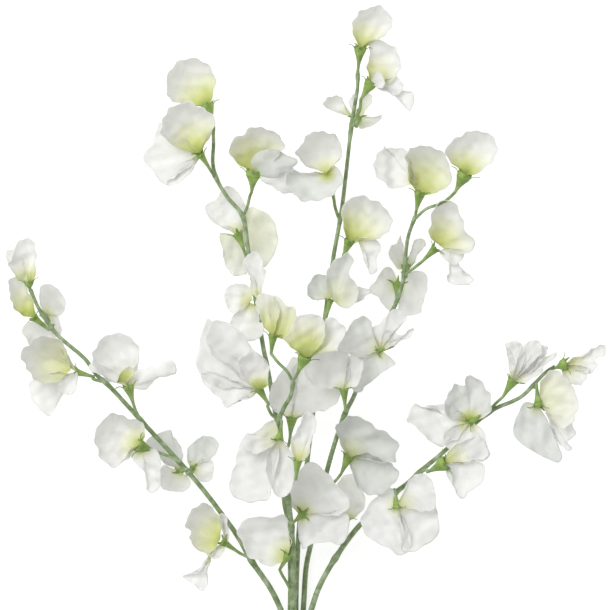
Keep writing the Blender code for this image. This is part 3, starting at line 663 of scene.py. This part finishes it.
PETALS["centre"] = {
    1: [hood([5.5, 3, 13.5, 5, 19.5, 10, 23.5, 16, 22.5, 23, 18.5, 28, 11.5, 31, 2.5, 29, -3.5, 23,
              -5.5, 16, -4.5, 8], BOWL, tint=0.65, fade=21)],
    2: [hood([9, -2, 15, 1, 20, 7, 22, 12, 21, 20, 17, 27, 9, 30, 2, 30, -2, 23, -3, 14, -3, 7], DISH,
              tint=0.6, fade=24),
        wing([7, -5, 10, -1, 8, 5, 3, 8], 20, lift=3, tint=0, ruffle=0.3),
        wing([11, -6, 17, -10, 23, -7, 23, 0, 19, 4, 12, 3], -4, tint=0),
        wing([19, -11, 24, -17, 28, -22, 31, -17, 31, -9, 25, -7], -8, foot=(10, -4), waist=(17, -8),
              tint=0)],
    3: [wing([-8, 7, -10, 14, -13, 17, -20, 15, -25, 10, -23, 7, -14, 5], -8, BOWL, foot=(-4, 2)),
        wing([2, -8, 9, -6, 15, -3, 19, 2, 12, 2, 6, 1], -8, tint=0.4, fade=12),
        wing([-1, 6, 0, 13, -2, 20, -4, 17, -5, 10], -5),
        wing([4, 2, 8, 8, 11, 16, 8, 19, 3, 10], -5, tint=0.45, fade=18)],
    4: [hood([4, 14, 9, 21, 8, 29, 2, 35, -9, 37, -18, 34, -25, 27, -26, 19, -18, 13], foot=(-3, 7),
              tint=0.6, fade=12, lift=8),
        wing([-32, 6, -31, -5, -25, -12, -14, -14, -4, -13, 3, -7, 8, 1, 7, 9, 2, 13], -3, DISH,
              foot=(-3, 7), lift=9, tint=0.85, fade=9, thin=0.45)],
    5: [hood([9.5, 0, 19.5, 1, 26.5, 5, 30.5, 13, 27.5, 23, 21.5, 29, 11.5, 33, 2.5, 33, -3.5, 27,
              -4.5, 15, -3.5, 5], BOWL, tint=0.7, fade=27),
        wing([9.5, -6, 13.5, -15, 14.5, -25, 20.5, -23, 19.5, -14, 23.5, -7, 20.5, 0], -10,
              foot=(5.5, 2))],
    6: [wing([-1, 16, -6, 20, -12, 19, -16, 10, -17, 2, -10, 0], -6, DISH, foot=(0.6, 1.2), lift=2,
              thin=0.8),
        wing([18, 0, 23, -1, 27, 4, 31, 7, 26, 9, 18, 9], -6, foot=(1.2, 0.4)),
        wing([9, -6, 15, -5, 19, 1, 18, 10, 15, 19, 17, 29, 14, 36, 7, 34, 0, 27, -1, 18, -2, 8], -2, DISH,
              foot=(2, 0), lift=4.5, ruffle=1.7, tint=0.35, fade=20, thin=0.4)],
}

PETALS["upper_right"] = {
    1: [hood([7.5, -1, 17.5, 1, 22.5, 8, 23.5, 17, 18.5, 26, 9.5, 33, -1.5, 35, -9.5, 32, -11.5, 23,
              -8.5, 11], tint=0.62, fade=28),
        wing([-10.5, 31, -17.5, 32, -25.5, 33, -27.5, 36, -32.5, 28, -34.5, 18, -32.5, 11, -26.5, 6,
              -19.5, 4, -9.5, 6], -10, DISH, foot=(-2.5, 7))],
    2: [hood([10, -1, 15, 4, 21, 10, 23, 18, 20, 28, 13, 30, 4, 32, -3, 29, -11, 23, -15, 16, -11, 9,
              -5, 4], BOWL, tint=0.75, fade=20)],
    3: [hood([9, -1, 21, -2, 28, 3, 28, 9, 23, 14, 21, 22, 17, 30, 8, 34, 0, 30, -4, 21, -5, 9],
              foot=(2, 3), tint=0.6, fade=20, ruffle=1.6),
        wing([3, -3, 8, -10, 15, -12, 21, -7, 20, -1], 0, foot=(7, 0), tint=0),
        wing([10, -22, 12, -26, 18, -28, 26, -27, 29, -23, 23, -18, 19, -14], -14, foot=(11, -3),
              waist=(13, -11), tint=0)],
    4: [wing([-2, 15, -4, 24, -6, 18, -11, 16, -13, 9, -10, 3, -6, -2], -8),
        wing([7, 4, 9, 11, 14, 20, 7, 21, 4, 16, 2, 9], -8)],
    5: [wing([-2, 7, -7, 13, -13, 10, -17, 2, -22, -5, -16, -9, -10, -17, -4, -20], -6),
        wing([3, -22, 16.3, -22, 18.3, -15, 22.3, -4, 22.3, 3, 19.3, 9, 12, 9, 6, 5], -6)],
    6: [wing([-5, 18.5, -12, 24.5, -19, 22.5, -25, 15.5, -30, 6.5, -32, 0.5, -20, -3.5, -10, -4.5], -2,
              DISH, tint=0.45, fade=12, thin=0.3),
        wing([-19, -6.5, -18, -17.5, -19, -28.5, -14, -29.5, -9, -24.5, 0, -18.5, 8, -12.5, 13, -8.5,
              6, -1.5], -6, thin=0.4),
        wing([8, 2.5, 14, 6.5, 22, 10.5, 26, 16.5, 18, 12.5, 12, 14.5, 4, 16.5], 0),
        wing([10, 14.5, 17, 20.5, 21, 24.5, 18, 29.5, 11, 32.5, 6, 27.5, 2, 20.5, -4, 16.5], 4, tint=0.45,
              fade=13, ruffle=1.2)],
    7: [wing([5, 24, -8, 29, -20, 26, -28, 18, -28, 8, -21, 2, -11, 0], 2, ruffle=2.0, crease=1.2),
        wing([9, 1, 13, 8, 14, 18, 10, 23, 4, 24, 1, 16], 4)],
    8: [wing([16, -4, 35.5, -5.5, 35.5, 6, 29, 15, 20, 20, 10, 28, 1, 31, -7, 26, -12, 19, -9, 11, -3, 6],
              0, BOWL, tint=0.5, fade=16, ruffle=1.8, thin=0.85),
        wing([2, -15, 7, -23, 16, -27, 26, -27, 32, -23, 37, -14, 35, -6, 26, -1, 13, 1], -4, DISH,
              ruffle=1.8, thin=0.8)],
}

PETALS["right"] = {
    1: [hood([11, -7, 19, -6, 23, -1, 22, 4, 28, 9, 28, 15, 21, 13, 13, 7, 5, 3], DISH, tint=0.45, fade=18,
              ruffle=1.2),
        hood([-3, -6, 0, -12, 5, -16, 10, -16, 14, -11, 14, -4, 8, 0], BOWL, tint=0.4, fade=14)],
    2: [wing([8.5, 16, 4.5, 29, -6.5, 27, -2.5, 21, 1.5, 10], 4, **NARROW),
        wing([14.5, 13, 21.5, 22, 16.5, 30, 9.5, 27, 3.5, 20], 8, **NARROW),
        wing([16.5, 9, 24.5, 20, 25.5, 25, 19.5, 25, 11.5, 16], 2, **NARROW),
        wing([8.5, -2, 20.5, 5, 23.5, 11, 29.5, 15, 32.5, 21, 24.5, 18, 15.5, 14], 0, **NARROW)],
    3: [wing([-10, 3, -16, -5, -19, -14, -18, -22, -12, -29, -3, -34, 6, -39, 15, -41, 17, -34, 13, -23,
              7, -11], -8, thin=0.55),
        hood([5, -4, 11, -13, 19, -17, 26, -10, 29, 0, 27, 10, 23, 20, 16, 27, 9, 27, 3, 21], DISH,
              tint=0.3, fade=32, foot=(1, 6)),
        wing([11, -14, 16, -28, 22, -34, 25, -31, 22, -26, 28, -22, 27, -16, 23, -12], -12, foot=(5, -4),
              ruffle=1.8, tint=0.2)],
    4: [wing([18, 10.5, 17, 20.5, 12, 27.5, 6, 33.5, 1, 34.5, -2, 28.5, -6, 27.5, -11, 30.5, -16, 24.5,
              -19, 14.5, -16, 6.5], -2, DISH, ruffle=1.8, waves=2.2, tint=1.0, fade=12, thin=0.5),
        wing([-16, 14.5, -28, 12.5, -37, 11.5, -42, 13.5, -47, 2.5, -40, -3.5, -34, -10.5, -22, -17.5,
              -14, -13.5], -4, ruffle=1.6, tint=1, fade=12),
        wing([-19, -5.5, -17, -17.5, -8, -22.5, 4, -24.5, 9, -28.5, 16, -23.5, 13, -15.5, 11, -5.5,
              5, -0.5], -6)],
    5: [wing([14.5, 0, 23.5, 3, 31.5, 6, 29.5, 14, 23.5, 20, 11.5, 16, 2.5, 9], -4, tint=0.6, fade=22),
        wing([5.5, -6, 4.5, -17, 8.5, -26, 13.5, -26, 18.5, -22, 25.5, -17, 28.5, -10, 27.5, -1, 19.5, 2],
              -6, DISH, tint=0)],
    6: [wing([-4, 14, -12, 11, -22, 1, -28, -8, -25, -18, -16, -26, -6, -31, 1, -35, 8, -32, 9, -18], -8,
              ruffle=1.8),
        wing([4, -18, 4, -32, 12, -33, 21, -27, 29, -22, 32, -12, 30, -2, 26, 5], -10, ruffle=1.8),
        wing([25, -3, 28, 8, 27, 17, 22, 25, 14, 26, 9, 22, 5, 11], 0, tint=0.5, fade=16, lift=2)],
    7: [wing([8, 2, 14, 10, 13, 21, 8, 25, 5, 33, -2, 32, -7, 25, -8, 13], 0, tint=0.6, fade=12)],
}


def crumpled(plan, phase):
    """Height of the soft dents of handled cloth: a sum of plane waves, CRUMPLE of their length high.

    Each has its own direction and is about 1.3 times as long as the last.
    """
    chance = np.random.default_rng(int(1000 * phase))
    turn, start = chance.uniform(0, 2 * np.pi, (2, len(CRUMPLE_LENGTHS)))
    length = np.array(CRUMPLE_LENGTHS)
    along = plan[..., :1] * np.cos(turn) + plan[..., 1:2] * np.sin(turn)
    return (CRUMPLE * length * np.sin(2 * np.pi * along / length + start)).sum(axis=-1)


def frilled(grid, arc, across, reach, petal, phase):
    """A petal's smooth surface with its folds, dents, pleats and frill, moved along the normal.

    `arc` is the share of the way out from the foot. The folds are ruffle times arc^1.4 times two sines
    across the petal that WANDER with the arc. The pleats are small uneven waves near the foot, the
    frill smaller ones in the last quarter, and the crease a groove down the middle. All are less
    where the petal is short, and none goes below the table.
    """
    down, over = np.gradient(grid, axis=(0, 1))
    normal = unit(np.cross(down, over) + (0, 0, 1e-9))
    astray = petal.waves * np.pi * (across + WANDER * np.sin(4.2 * arc + phase))
    fold = petal.ruffle * arc ** 1.4 * (np.sin(astray + phase) + 0.5 * np.sin(2.3 * astray + 2.1 * phase))
    uneven = PLEATS * np.pi * across + 1.4 * np.sin(3.1 * across + phase)
    pleat = PLEAT_DEPTH * arc * np.exp(-3 * arc) * np.sin(uneven)
    frill = FRILL * np.clip(arc * 4 - 3, 0, 1) ** 2 * np.sin(1.9 * uneven + 2 * phase)
    dents = crumpled(grid, phase) * np.clip(arc * 2.5, 0, 1)
    crease = -petal.crease * arc * np.exp(-((across - WANDER * np.sin(phase)) / CREASE_WIDTH) ** 2)
    share = np.minimum(reach / SHORT_PETAL, 1)
    moved = grid + normal * ((fold + dents + pleat + frill + crease) * share)[..., None]
    moved[..., 2] = np.maximum(moved[..., 2], PETAL_REST)
    return moved


def petal_sheet(flower, petal, phase):
    """A petal cut to its outline and pressed into its form.

    Lines run in plan from the foot to a Catmull-Rom curve through the outline's points, which two
    sines of the place across the petal make RAGGED. They are quadratic Bezier curves, straight unless
    the petal has a waist, where they are drawn together. Along each line the slope turns evenly from
    the form's first angle below the level to its second above it. So the way out and the height are
    the integrals of its cosine and sine, divided by what the first comes to at its farthest. The tint
    is the share of the way left to its end, to the power TINT_FALL.
    """
    throat = np.array(flower.throat, float)
    foot = throat - PETAL_DEPTH * axes(*flower.aim)[0] + (0, 0, petal.lift)
    if petal.foot:
        foot[:2] = throat[:2] + petal.foot
    outline = throat[:2] + np.reshape(petal.outline, (-1, 2))
    ends = foot[:2] + PETAL_SIDES * (outline[[0, -1]] - foot[:2])
    edge = curve_through(np.vstack([ends[:1], outline, ends[1:]]), count=PETAL_COLUMNS + 1)[0]
    arc = np.linspace(PETAL_START, 1, PETAL_ROWS + 1)[:, None]
    across = np.linspace(-1, 1, PETAL_COLUMNS + 1)[None, :]
    nicks = RAGGED * (np.sin(16 * across + phase) + np.sin(29 * across + 2 * phase)).T
    edge = foot[:2] + (edge - foot[:2]) * (1 + nicks)
    reach = np.linalg.norm(edge - foot[:2], axis=1)[None, :]
    dip, curl = np.radians(petal.form)
    slope = (dip + curl) * arc - dip
    farthest = np.sin(np.clip(curl, -np.pi / 2, np.pi / 2)) + np.sin(dip)
    out = (np.sin(slope) + np.sin(dip)) / farthest
    height = (np.cos(dip) - np.cos(slope)) / farthest + np.tan(np.radians(petal.rise)) * out
    bend = foot[:2] + 0.5 * (edge - foot[:2])
    if petal.waist:
        bend = throat[:2] + petal.waist + WAIST * (edge - edge.mean(axis=0))
    way = out[..., None]
    plan = (1 - way) ** 2 * foot[:2] + 2 * way * (1 - way) * bend + way ** 2 * edge
    grid = np.concatenate([plan, (foot[2] + height * reach)[..., None]], axis=2)
    grid = frilled(grid, arc, across, reach, petal, phase)
    tint = petal.tint * np.clip(1 - arc * reach / petal.fade, 0, 1) ** TINT_FALL
    uv = np.stack([across * 0.5 + 0.5 + 0 * arc, arc + 0 * across], axis=-1)
    # painted shade: each petal carries the share of grey painted on it where it lies in shade
    return closed_sheet(grid, PETAL_THICKNESS, {"tint": tint, "thin": petal.thin}, uv)


def pressed_polyester():
    """Sheer polyester cloth, pressed in warm moulds and airbrushed at the foot.

    It gives the eye a soft, slightly see-through white that turns cream, yellow-green and olive
    towards the calyx, the darkest olive deep in the throat partly painted shade, with fine raised veins
    that fan out from it. Soft clouds of thinner cloth grey it, and some whole petals are greyed with
    painted shade.
    """
    finish, tree = new_finish("pressed_polyester")
    place = add(tree, "TexCoord")
    tint = add(tree, "Attribute", attribute_name="tint")
    patch = add(tree, "TexNoise", {"Vector": (place, "Object")},
                {"Scale": 1000 / CLOTH_PATCH, "Detail": 2.0})
    uneven = add(tree, "MapRange", {"Value": (patch, "Fac")}, {"To Min": 0.7, "To Max": 1.3})
    share = add(tree, "Math", {0: (tint, "Fac"), 1: (uneven, "Result")}, operation="MULTIPLY")
    # the olive end of this ramp is partly painted shade deep in the throat
    colour = colour_steps(add(tree, "ValToRGB", {"Fac": (share, "Value")}),
                          [(0.0, CLOTH_WHITE), (0.2, CLOTH_CREAM), (0.45, CLOTH_YELLOW_GREEN),
                           (0.7, CLOTH_GREEN), (0.95, CLOTH_OLIVE_AND_THROAT_SHADE)])
    cloud = add(tree, "TexNoise", {"Vector": (place, "Object")},
                {"Scale": 1000 / CLOTH_CLOUD, "Detail": 1.0})
    clouded = add(tree, "MapRange", {"Value": (cloud, "Fac")},
                  {"From Min": 0.4, "From Max": 0.7, "To Min": 0.0, "To Max": 0.25})
    # painted shade: the petal's share of grey for lying in shade, added to the clouds of greyer cloth
    thin = add(tree, "Attribute", attribute_name="thin")
    grey = add(tree, "Math", {0: (clouded, "Result"), 1: (thin, "Fac")}, operation="ADD")
    shaded = add(tree, "MixRGB", {"Fac": (grey, "Value"), "Color1": (colour, "Color")},
                 {"Color2": linear(CLOTH_THIN_AND_PAINTED_SHADE)}, blend_type="MULTIPLY")
    across = add(tree, "Mapping", {"Vector": (place, "UV")}, {"Scale": VEINS})
    vein = add(tree, "TexWave", {"Vector": (across, "Vector")},
               {"Scale": 1.0, "Distortion": 1.2, "Detail": 1.0}, bands_direction="X")
    thread = add(tree, "TexNoise", {"Vector": (place, "Object")},
                 {"Scale": 1000 / CLOTH_THREAD, "Detail": 1.0})
    veined = add(tree, "Bump", {"Height": (vein, "Fac")}, {"Strength": 0.08, "Distance": 0.0003})
    woven = add(tree, "Bump", {"Height": (thread, "Fac"), "Normal": (veined, "Normal")},
                {"Strength": 0.15, "Distance": 0.0001})
    rough = add(tree, "MapRange", {"Value": (patch, "Fac")}, {"To Min": 0.6, "To Max": 0.78})
    shader = add(tree, "BsdfPrincipled", {"Base Color": (shaded, "Color"), "Roughness": (rough, "Result"),
                                          "Normal": (woven, "Normal")},
                 {"IOR": 1.45, "Specular IOR Level": 0.3, "Sheen Weight": 0.15, "Sheen Roughness": 0.5})
    through = add(tree, "BsdfTranslucent", {"Color": (shaded, "Color"), "Normal": (woven, "Normal")})
    sheer = add(tree, "MixShader", {1: (shader, "BSDF"), 2: (through, "BSDF")}, {"Fac": SHEER})
    add(tree, "OutputMaterial", {"Surface": (sheer, "Shader")})
    return finish


polyester = pressed_polyester()
for branch_name, branch in SPRAY.items():
    for number, flower in enumerate(branch.flowers, 1):
        shapes = []
        for order, petal in enumerate(PETALS[branch_name][number]):
            phase = 1.7 * number + 2.3 * order + 0.9 * len(branch_name)     # sets how it is folded
            shapes.append(petal_sheet(flower, petal, phase))
        make_piece(f"{branch_name}_petals_{number}", shapes, polyester,
                   [f"{branch_name}_blossom_{number}"])


# ==== Table, light and camera ====
# A table top of opal acrylic lit a little from below, as for small still lifes, a big soft box high on
# the upper left with white walls all round, and a long lens that looks straight down.

TABLE_WHITE = "#c4c4c4"
TABLE_CORNERS = [(-6, -6, 0), (6, -6, 0), (6, 6, 0), (-6, 6, 0)]      # m
TABLE_GLOW = 0.66
ROOM_LIGHT = 0.69
SOFT_BOX_SIDE = 1.8         # m
SOFT_BOX_POWER = 56         # W
SOFT_BOX_PLACE = (-1.5, 1.3, 2.4)      # m
SOFT_BOX_TILT = (-28.5, -31, 0)        # degrees
VIEW_CENTRE = (6.9, 254.3, 25)
VIEW_FIELD = 458.8          # what it takes in across, at the height of its centre
LENS = 600.0
LIGHT_WHITE = "#ffffff"

table_mesh = bpy.data.meshes.new("table")
table_mesh.from_pydata(TABLE_CORNERS, [], [(0, 1, 2, 3)])
acrylic = bpy.data.materials.new("opal_acrylic")
acrylic.use_nodes = True
top = acrylic.node_tree.nodes["Principled BSDF"]
top.inputs["Base Color"].default_value = linear(TABLE_WHITE)
top.inputs["Roughness"].default_value = 0.9
top.inputs["Specular IOR Level"].default_value = 0.1
top.inputs["Emission Color"].default_value = linear(LIGHT_WHITE)
top.inputs["Emission Strength"].default_value = TABLE_GLOW
table_mesh.materials.append(acrylic)
table = bpy.data.objects.new("table", table_mesh)
bpy.context.scene.collection.objects.link(table)

room = bpy.data.worlds.new("room")
room.use_nodes = True
walls = room.node_tree.nodes["Background"]
walls.inputs["Color"].default_value = linear(LIGHT_WHITE)
walls.inputs["Strength"].default_value = ROOM_LIGHT
bpy.context.scene.world = room

soft_box = bpy.data.lights.new("soft_box", "AREA")
soft_box.shape = "SQUARE"
soft_box.size = SOFT_BOX_SIDE
soft_box.energy = SOFT_BOX_POWER
soft_box_object = bpy.data.objects.new("soft_box", soft_box)
soft_box_object.location = SOFT_BOX_PLACE
soft_box_object.rotation_euler = np.radians(SOFT_BOX_TILT)
bpy.context.scene.collection.objects.link(soft_box_object)

camera = bpy.data.cameras.new("camera")
camera.lens = LENS
camera.sensor_width = 36.0
camera_object = bpy.data.objects.new("camera", camera)
distance = VIEW_FIELD * LENS / camera.sensor_width
camera_object.location = np.array(VIEW_CENTRE) * 0.001 + PLACE + (0, 0, distance * 0.001)
camera.clip_end = 100.0
bpy.context.scene.collection.objects.link(camera_object)
bpy.context.scene.camera = camera_object
bpy.context.scene.view_settings.view_transform = "Standard"
